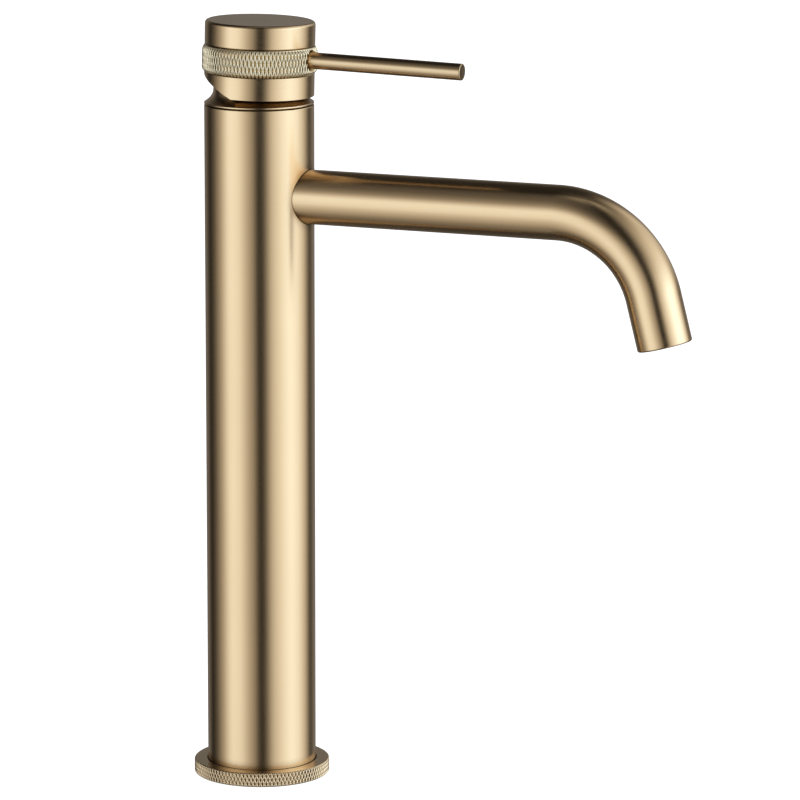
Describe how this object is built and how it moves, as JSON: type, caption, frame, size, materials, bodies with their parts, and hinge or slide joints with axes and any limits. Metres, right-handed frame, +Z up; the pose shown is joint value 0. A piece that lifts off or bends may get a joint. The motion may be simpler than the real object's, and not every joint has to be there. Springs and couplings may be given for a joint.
{
  "type": "bathroom mixer faucet",
  "caption": "Tall single-lever basin mixer: round column on a knurled base ring, fixed bent spout, pin lever on a round knurled handle, ceramic cartridge inside.",
  "frame": {"origin": "middle of the base's underside, on the deck plane, on the column's axis", "axes": "+Z up along the column, the spout and the lever point to -Y, hot is -X and cold is +X"},
  "size_m": [0.055, 0.2107, 0.3086],
  "materials": {
    "gold_column": "brushed champagne gold, satin",
    "gold_spout": "brushed champagne gold, satin",
    "gold_handle": "brushed champagne gold, satin",
    "gold_knurl": "champagne gold, diamond knurl",
    "gold_flange": "champagne gold, diamond knurl on the rim",
    "gold_lever": "brushed champagne gold, satin",
    "raw_brass": "machined, unplated",
    "copper": "drawn copper tube",
    "steel": "stainless, turned",
    "rubber": "moulded, matt",
    "ceramic": "ground and polished",
    "white_plastic": "moulded, satin",
    "grey_plastic": "moulded, glass-filled"
  },
  "bodies": {
    "body": {"base_flange": "gold_flange", "base_gasket": "rubber", "foot_plug": "raw_brass", "body_tube": "gold_column", "hot_pipe": "copper", "cold_pipe": "copper", "valve_housing": "raw_brass", "spout_tube": "gold_spout", "spout_nipple": "raw_brass", "spout_seal_front": "rubber", "spout_seal_rear": "rubber", "spout_lock_screw": "steel", "cartridge_base": "grey_plastic", "port_seal_hot": "rubber", "port_seal_cold": "rubber", "port_seal_mixed": "rubber", "fixed_disc": "ceramic", "cartridge_shell": "white_plastic", "retaining_nut": "raw_brass", "bonnet": "gold_handle", "aerator_shell": "steel", "aerator_core": "white_plastic", "aerator_screen": "steel", "aerator_gasket": "rubber", "aerator_seat_ring": "raw_brass"},
    "rotor": {"cartridge_rotor": "grey_plastic", "stem_pivot_pin": "steel"},
    "handle": {"valve_stem": "steel", "handle_body": "gold_handle", "knurled_ring": "gold_knurl", "handle_cap": "gold_handle", "lever_rod": "gold_lever", "grub_screw": "steel"},
    "disc": {"moving_disc": "ceramic", "disc_driver": "white_plastic"}
  },
  "joints": [
    {"name": "temperature", "type": "hinge", "parent": "body", "child": "rotor", "pos_m": [0, 0, 0.2797], "axis": [0, 0, 1], "range_deg": [-50, 50]},
    {"name": "flow_lift", "type": "hinge", "parent": "rotor", "child": "handle", "pos_m": [0, 0, 0.2797], "axis": [-1, 0, 0], "range_deg": [0, 22]},
    {"name": "disc_slide", "type": "slide", "parent": "rotor", "child": "disc", "axis": [0, -1, 0], "range_m": [0, 0.00452]}
  ],
  "couplings": [
    {"joint": "disc_slide", "follows": "flow_lift", "m_per_rad": 0.01176}
  ]
}
